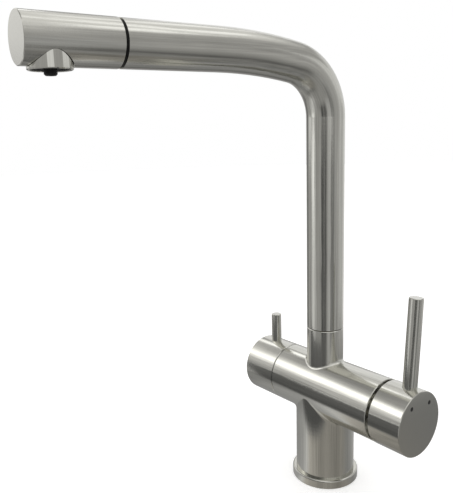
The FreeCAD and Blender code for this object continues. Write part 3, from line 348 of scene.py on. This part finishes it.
def braidedNylon(name):
    # grey yarn: fibres along the hose, lighter where they are worn
    material, wire = newMaterial(name)
    spot, x, y, z = places(wire)
    along, axis, left, right, bent = aboutSpout(wire, x, y, z)
    width = yarn["fibreWidth"]
    fibre = wire.noise(wire.vector(along / yarn["fibreLength"], left / width, right / width), 1.0, 2.0)
    worn = wire.noise(spot, yarn["worn"], 3.0)
    tone = 0.5 + (fibre - 0.5) * yarn["fibreTone"] + (worn - 0.5) * yarn["wornTone"]
    surface(wire, {"Base Color": tone.blend(yarn["dark"], yarn["light"]), "Sheen Weight": yarn["sheen"],
                   "Roughness": yarn["roughness"] + (fibre - 0.5) * yarn["fibreRoughness"]},
            fibre, yarn["fibreBump"], yarn["fibreDepth"])
    return material


brassDark = (0.55, 0.36, 0.14, 1.0)
brassLight = (0.84, 0.62, 0.30, 1.0)
bodySteel = turnedSteel("bodySteel", aboutBody)
levelSteel = turnedSteel("levelSteel", aboutX)
spoutSteel = turnedSteel("spoutSteel", aboutSpout, streakTilt=0.15, streakTone=1.25)
uprightSteel = turnedSteel("uprightSteel", aboutZ)
sleeveSteel = turnedSteel("sleeveSteel", aboutZ, roughness=0.05, lineTilt=0.12, streakTilt=0.02)
blackPlastic = moulded("blackPlastic", grey(0.003), grey(0.009), 0.40, shine=0.22)
aeratorPlastic = moulded("aeratorPlastic", grey(0.006), grey(0.018), 0.55, shine=0.02)
greyPlastic = moulded("greyPlastic", grey(0.26), grey(0.36), 0.45)
sealRubber = moulded("sealRubber", grey(0.008), grey(0.020), 0.62, 0.0009, 0.3)
ceramic = moulded("ceramic", grey(0.72, 0.02), grey(0.84, 0.02), 0.14, 0.0003, 0.02)
clearTube = moulded("clearTube", grey(0.62), grey(0.74), 0.22, 0.002, 0.05)
markPaint = moulded("markPaint", grey(0.003), grey(0.008), 0.40)
brass = drawnMetal("brass", aboutX, brassDark, brassLight, 0.26, 0.3)
uprightBrass = drawnMetal("uprightBrass", aboutZ, brassDark, brassLight, 0.26, 0.3)
# the ferrule's brass is painted far darker than its own tone: painted shade for the seam gap where it shows
gapShadeBrass = drawnMetal("gapShadeBrass", aboutZ, (0.05, 0.035, 0.015, 1.0), (0.16, 0.115, 0.055, 1.0), 0.40, 0.3)
copper = drawnMetal("copper", aboutZ, (0.48, 0.22, 0.12, 1.0), (0.88, 0.50, 0.34, 1.0), 0.24, 0.5)
screwSteel = drawnMetal("screwSteel", aboutZ, grey(0.30), grey(0.52), 0.28, 0.2)
braid = braidedNylon("braid")

finishes = {
    "mixer_body": bodySteel,
    "base_ring": uprightSteel, "mixer_lever_pin": uprightSteel, "filter_lever_pin": uprightSteel,
    "mixer_cap": levelSteel, "filter_cap": levelSteel,
    "spout_tube": spoutSteel, "head_shell": spoutSteel,
    "outlet_sleeve": sleeveSteel,
    "docking_collar": blackPlastic, "cartridge_cover": blackPlastic,
    "filter_nozzle": blackPlastic, "head_spigot": blackPlastic,
    "aerator_insert": aeratorPlastic,
    "head_water_guide": greyPlastic, "cartridge_base": greyPlastic, "cartridge_housing": greyPlastic,
    "cartridge_rotor": greyPlastic, "disc_carrier": greyPlastic,
    "slide_ring_lower": greyPlastic, "slide_ring_upper": greyPlastic,
    "base_gasket": sealRubber, "cartridge_seal": sealRubber, "filter_valve_seal": sealRubber,
    "swivel_seal_lower": sealRubber, "swivel_seal_upper": sealRubber, "aerator_seal": sealRubber,
    "inlet_block": uprightBrass, "hose_tail_fitting": uprightBrass, "spout_ferrule": gapShadeBrass,
    "cartridge_nut": brass, "filter_valve_body": brass, "filter_spindle": brass, "mixer_spindle": brass,
    "hose_coupling": brass, "hose_crimp": brass,
    "mixed_return_tube": copper, "hot_feed_tube": copper, "cold_feed_tube": copper,
    "filter_feed_tube": copper, "filter_return_tube": copper,
    "cartridge_fixed_disc": ceramic, "cartridge_moving_disc": ceramic,
    "filter_fixed_disc": ceramic, "filter_moving_disc": ceramic,
    "column_hose": braid, "riser_hose": braid, "head_hose": braid,
    "column_filter_tube": clearTube, "riser_filter_tube": clearTube, "head_filter_tube": clearTube,
    "swivel_stop_screw": screwSteel, "mixer_grub_screw": screwSteel, "filter_grub_screw": screwSteel,
    "tilt_pin": screwSteel, "block_clip": screwSteel,
    "hot_mark": markPaint, "cold_mark": markPaint,
}
for name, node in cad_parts.items():
    if node.material_slots:
        node.material_slots[0].material = finishes[name]
    else:
        node.data.materials.append(finishes[name])
print("finishes on", len(finishes), "nodes")

# Braided hose: flat bundles of yarns cross over and under each other round a dark liner

hose = {
    "bundles": 10,               # each way round
    "yarns": 4,                  # side by side in a bundle
    "lead": 0.038,               # one turn of a bundle, along the hose
    "fill": 0.88,                # how much of its share of the turn a bundle takes up
    "weave": 0.00022,            # how far a bundle rises and dips
    "yarnHeight": 0.00016,
    "yarnFoot": 0.00008,         # thickness below the yarns' grooves
    "linerDepth": 0.00075,       # the liner's surface below the hose's outside
    "stepsPerCrossing": 4,
    "stepsPerYarn": 3,
    "linerSides": 48,
}
hoseMiddle = sum(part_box("head_hose"), Vector()) / 2
hoseRadius = (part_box("head_hose")[1].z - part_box("head_hose")[0].z) / 2
reaches = [corner.co.dot(spoutWay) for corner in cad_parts["head_hose"].data.vertices]
hoseStart, hoseLength = min(reaches), max(reaches) - min(reaches)


def onHose(reach, turn, radius):
    # a point of the hose: how far out it is, its turn round the axis and its distance from it
    height = Vector((0, 0, hoseMiddle.z + radius * math.sin(turn)))
    return spoutWay * reach + spoutSide * (radius * math.cos(turn)) + height


def bundle(corners, faces, index, winding):
    # one bundle of yarns from end to end, a closed ribbon with a ridge for each yarn
    count = hose["bundles"]
    crossings = 2 * count * hoseLength / hose["lead"]
    rings = round(crossings * hose["stepsPerCrossing"])
    ridges = hose["yarns"] * hose["stepsPerYarn"]
    middle = hoseRadius - hose["weave"] - hose["yarnHeight"]
    first, wide = len(corners), ridges + 3
    for ring in range(rings + 1):
        reach = hoseLength * ring / rings
        wound = 2 * math.pi * reach / hose["lead"]
        for place, point in enumerate(list(range(ridges + 1)) + [ridges, 0]):
            share = point / ridges
            turn = winding * wound + 2 * math.pi * (index + hose["fill"] * (share - 0.5)) / count
            crossed = index + count * (turn + winding * wound) / (2 * math.pi)
            radius = middle + winding * hose["weave"] * math.cos(math.pi * crossed)
            if place <= ridges:
                radius += hose["yarnHeight"] * abs(math.sin(math.pi * hose["yarns"] * share))
            else:
                radius -= hose["yarnFoot"]
            corners.append(onHose(hoseStart + reach, turn, radius))
    for ring in range(rings):
        base = first + ring * wide
        for point in range(wide):
            after = (point + 1) % wide
            faces.append((base + point, base + after, base + wide + after, base + wide + point))
    faces.append(tuple(range(first, first + wide)))
    faces.append(tuple(range(first + rings * wide, first + (rings + 1) * wide)))


corners, faces = [], []
for winding in (1, -1):
    for index in range(hose["bundles"]):
        bundle(corners, faces, index, winding)
yarnFaces, linerStart, sides = len(faces), len(corners), hose["linerSides"]
linerRadius = hoseRadius - hose["linerDepth"]
for reach in (hoseStart, hoseStart + hoseLength):
    corners += [onHose(reach, 2 * math.pi * side / sides, linerRadius) for side in range(sides)]
for side in range(sides):
    after = (side + 1) % sides
    faces.append(tuple(linerStart + place for place in (side, after, sides + after, sides + side)))
faces.append(tuple(range(linerStart, linerStart + sides)))
faces.append(tuple(range(linerStart + sides, linerStart + 2 * sides)))
mesh = bpy.data.meshes.new("headHoseBraid")
mesh.from_pydata(corners, [], faces)
mesh.materials.append(braid)
mesh.materials.append(sealRubber)
for place, face in enumerate(mesh.polygons):
    face.material_index = int(place >= yarnFaces)
    face.use_smooth = len(face.vertices) == 4
built = bmesh.new()
built.from_mesh(mesh)
bmesh.ops.recalc_face_normals(built, faces=built.faces)
built.to_mesh(mesh)
built.free()
headHoseBraid = bpy.data.objects.new("headHoseBraid", mesh)
bpy.context.scene.collection.objects.link(headHoseBraid)
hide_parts("head_hose")
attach(headHoseBraid, "head")
print("braided hose:", len(mesh.polygons), "faces")


# Studio: a pale floor, and a tent of soft panels that the steel mirrors

def stagePiece(name, corners, faces):
    mesh = bpy.data.meshes.new(name)
    mesh.from_pydata(corners, [], faces)
    made = bpy.data.objects.new(name, mesh)
    bpy.context.scene.collection.objects.link(made)
    return made


floorLook = {"radius": 4.0, "sides": 64, "dark": grey(0.89), "light": grey(0.90), "lift": 0.46,
             "mottle": 60.0, "roughness": 0.9}
turns = [2 * math.pi * side / floorLook["sides"] for side in range(floorLook["sides"])]
rim = [(floorLook["radius"] * math.cos(turn), floorLook["radius"] * math.sin(turn), 0.0) for turn in turns]
floor = stagePiece("floor", rim, [tuple(range(len(rim)))])
paper, wire = newMaterial("floorPaper")
spot, x, y, z = places(wire)
mottle = wire.noise(spot, floorLook["mottle"], 4.0)
surface(wire, {"Base Color": mottle.blend(floorLook["dark"], floorLook["light"]),
               "Roughness": floorLook["roughness"], "Emission Color": grey(1.0),
               "Emission Strength": floorLook["lift"]})
floor.data.materials.append(paper)
floor.visible_glossy = False

# what the steel mirrors of the table: a sheet with brightness by azimuth, and a low dark screen by the barrel
table = {
    "left": -0.26, "right": 0.20, "front": -0.108, "back": 0.20,
    "screenLeft": -0.160, "screenRight": 0.100, "screenHeight": 0.0805,
    "screenFrom": 0.0002, "screenTo": 0.0008,          # the sheet's shade gives way to the screen's, in height
    "screenFoot": grey(0.085), "screenTop": grey(0.16),
    "dim": grey(0.22), "dimEdge": -0.096, "fade": 0.016,     # the sheet darkens towards the screen, along Y
    "poleX": 0.0084, "poleY": -0.0092,                 # the point that azimuths are taken from
    "by": [(-180, 0.34), (-150, 0.42), (-138, 0.46), (-124, 0.70), (-110, 0.52), (-100, 0.44), (-84, 0.38),
           (-66, 0.30), (-44, 0.34), (-20, 0.30), (-4, 0.25), (19, 0.32), (45, 0.28), (75, 0.40), (95, 0.48),
           (140, 0.36), (180, 0.34)],
    "warm": 0.045, "warmFrom": -115, "warmTo": 30,     # the sheet's tint, between two azimuths
    "far": 0.22, "farFrom": 0.12, "farTo": 0.15,       # how much it darkens away from the pole
}
corners = [(table["left"], table["front"], 0.0), (table["right"], table["front"], 0.0),
           (table["right"], table["back"], 0.0), (table["left"], table["back"], 0.0)]
for height in (0.0, table["screenHeight"]):
    corners += [(table["screenLeft"], table["front"], height), (table["screenRight"], table["front"], height)]
mirrored = stagePiece("mirroredTable", corners, [(0, 1, 2, 3), (4, 5, 7, 6)])
for ray in ("camera", "diffuse", "transmission", "volume_scatter", "shadow"):
    setattr(mirrored, "visible_" + ray, False)
glow, wire = newMaterial("tableGlow")
spot, x, y, z = places(wire)
outX, outY = x - table["poleX"], y - table["poleY"]
bearing = wire.maths("ARCTAN2", outY, outX) * (0.5 / math.pi) + 0.5
stops = []
for azimuth, bright in table["by"]:
    tint = table["warm"] if table["warmFrom"] < azimuth < table["warmTo"] else 0.0
    stops.append(((azimuth + 180) / 360, grey(bright, tint)))
away = (outX * outX + outY * outY).root().step(table["farFrom"], table["farTo"])
sheetShade = wire.vectorMaths("SCALE", wire.node("ShaderNodeValToRGB", {"stops": stops}, {0: bearing}),
                              1 - away * table["far"])
lit = y.step(table["dimEdge"] - table["fade"] / 2, table["dimEdge"] + table["fade"] / 2)
screenShade = (z / table["screenHeight"]).blend(table["screenFoot"], table["screenTop"])
onScreen = z.step(table["screenFrom"], table["screenTo"])
surface(wire, {"Base Color": grey(0.0), "Specular IOR Level": 0.0, "Roughness": 1.0, "Emission Strength": 1.0,
               "Emission Color": onScreen.blend(lit.blend(table["dim"], sheetShade), screenShade)})
mirrored.data.materials.append(glow)

# the tent's walls, each with its brightness by elevation, and the panels that stand before them, in degrees
tent = {
    "cut": -56.0,                # azimuth where the tent's seam lies
    "wallEdge": 12.0,            # softness between two walls
    "panelEdge": 3.0,            # softness round a panel
    "brightest": 2.4,
    "warm": 0.008,
    "front": [(-90, 0.30), (-40, 0.36), (-26, 0.33), (-16, 0.38), (8, 0.42), (24, 0.60), (45, 0.95), (90, 1.0)],
    "walls": [
        {"from": 20, "to": 162, "by": [
            (-90, 0.24), (-57, 0.22), (-50, 0.30), (-44, 0.27), (-36, 0.12), (-29, 0.26), (-21, 0.34),
            (-6, 0.50), (9, 0.38), (26, 0.43), (40, 0.47), (45, 0.80), (52, 0.86), (90, 0.95)]},
        {"from": 162, "to": 208, "by": [
            (-90, 0.36), (4, 0.42), (8, 0.85), (24, 1.0), (38, 1.1), (46, 0.50), (52, 0.32), (60, 0.36),
            (70, 0.60), (90, 0.9)]},
        {"from": 208, "to": 264, "by": [
            (-90, 0.36), (3, 0.36), (7, 0.55), (17, 0.70), (23, 1.20), (27, 1.90), (38, 1.95), (41, 0.9),
            (47, 0.52), (52, 0.32), (60, 0.36), (70, 0.60), (90, 0.9)]},
    ],
    # azimuth from and to, elevation from and to, brightness
    "panels": [
        (112, 129, 44, 66, 1.30),
        (60, 80, 50, 74, 1.40),
        (33, 49, 46, 56, 1.40),
        (82, 124, -19, 30, 0.80),
        (116, 146, 4, 40, 0.95),
        (152, 164, 37, 56, 1.70),
        (-143, -131, -50, 1, 0.56),
        (-131, -118, -50, -9, 0.80),
        (-131, -118, -9, 1, 1.20),
        (-118, -107, -50, 1, 0.56),
        (-72, -57, -24, 1, 0.10),
        (-55, -40, -24, 1, 0.12),
        (-32, -18, -24, 1, 0.52),
        (-13, -7, -26, 1, 0.20),
        (-5, 6, -30, 1, 0.22),
        (9, 22, -30, 1, 0.42),
        (165, 186, -30, 3, 0.20),
        (-34, -2, 2, 12, 0.85),
        (40, 80, -19, 4, 0.58),
        (44, 84, 5, 22, 0.80),
        (-166, -144, -3, 9, 0.80),
    ],
    "clutter": 0.14,             # unevenness of the tent's cloth
    "clutterSize": 16.0,
}
world = bpy.data.worlds.new("studio")
bpy.context.scene.world = world
world.use_nodes = True
world.node_tree.nodes.clear()
wire = Wire(world.node_tree)
ray = wire.node("ShaderNodeTexCoord", {}, {}, 0)
rayX = wire.node("ShaderNodeSeparateXYZ", {}, {0: ray})
degree = math.degrees(1.0)
azimuth = wire.maths("FLOORED_MODULO", wire.maths("ARCTAN2", rayX.out("Y"), rayX) * degree - tent["cut"], 360.0)
elevation = wire.maths("ARCSINE", rayX.out("Z")) * degree


def wallShade(stops):
    # brightness by elevation, as a share of the brightest
    scaled = [((height + 90) / 180, grey(bright / tent["brightest"], tent["warm"])) for height, bright in stops]
    return wire.node("ShaderNodeValToRGB", {"stops": scaled}, {0: (elevation + 90) / 180})


def inAzimuth(left, right, soft):
    start = (left - tent["cut"]) % 360
    return azimuth.between(start, start + right - left, soft)


shade = wallShade(tent["front"])
for wall in tent["walls"]:
    shade = inAzimuth(wall["from"], wall["to"], tent["wallEdge"]).blend(shade, wallShade(wall["by"]))
for left, right, low, high, bright in tent["panels"]:
    mask = inAzimuth(left, right, tent["panelEdge"]) * elevation.between(low, high, tent["panelEdge"])
    shade = mask.blend(shade, grey(bright / tent["brightest"]))
uneven = 1 - tent["clutter"] / 2 + wire.noise(ray, tent["clutterSize"], 4.0, 0.6) * tent["clutter"]
tentLight = wire.node("ShaderNodeBackground", {}, {"Color": shade, "Strength": uneven * tent["brightest"]})
backdrop = wire.node("ShaderNodeBackground", {}, {"Color": grey(1.0), "Strength": 1.0})
seen = wire.node("ShaderNodeLightPath", {}, {}, 0)
mixed = wire.node("ShaderNodeMixShader", {}, {0: seen, 1: tentLight, 2: backdrop})
wire.node("ShaderNodeOutputWorld", {}, {"Surface": mixed})
bpy.context.scene.view_settings.view_transform = "Standard"
print("studio:", len(tent["panels"]), "panels")

# Camera at the photograph's viewpoint: angles in degrees, focal length in pixels of a picture 493 high

view = {"place": (0.30315, -0.33203, 0.27681), "yaw": 51.98, "pitch": 11.13, "roll": -1.76,
        "focal": 596.74, "high": 493, "sensor": 36.0, "near": 0.01, "far": 30.0}
yaw, pitch, roll = (math.radians(view[key]) for key in ("yaw", "pitch", "roll"))
backward = Vector((math.sin(yaw) * math.cos(pitch), -math.cos(yaw) * math.cos(pitch), math.sin(pitch)))
level = Vector((math.cos(yaw), math.sin(yaw), 0))
upright = backward.cross(level)
across = level * math.cos(roll) + upright * math.sin(roll)
upward = upright * math.cos(roll) - level * math.sin(roll)
lens = bpy.data.cameras.new("camera")
lens.sensor_width = view["sensor"]
lens.lens = view["focal"] / view["high"] * view["sensor"]
lens.clip_start, lens.clip_end = view["near"], view["far"]
camera = bpy.data.objects.new("camera", lens)
camera.matrix_world = Matrix((across, upward, backward)).transposed().to_4x4()
camera.location = view["place"]
bpy.context.scene.collection.objects.link(camera)
bpy.context.scene.camera = camera
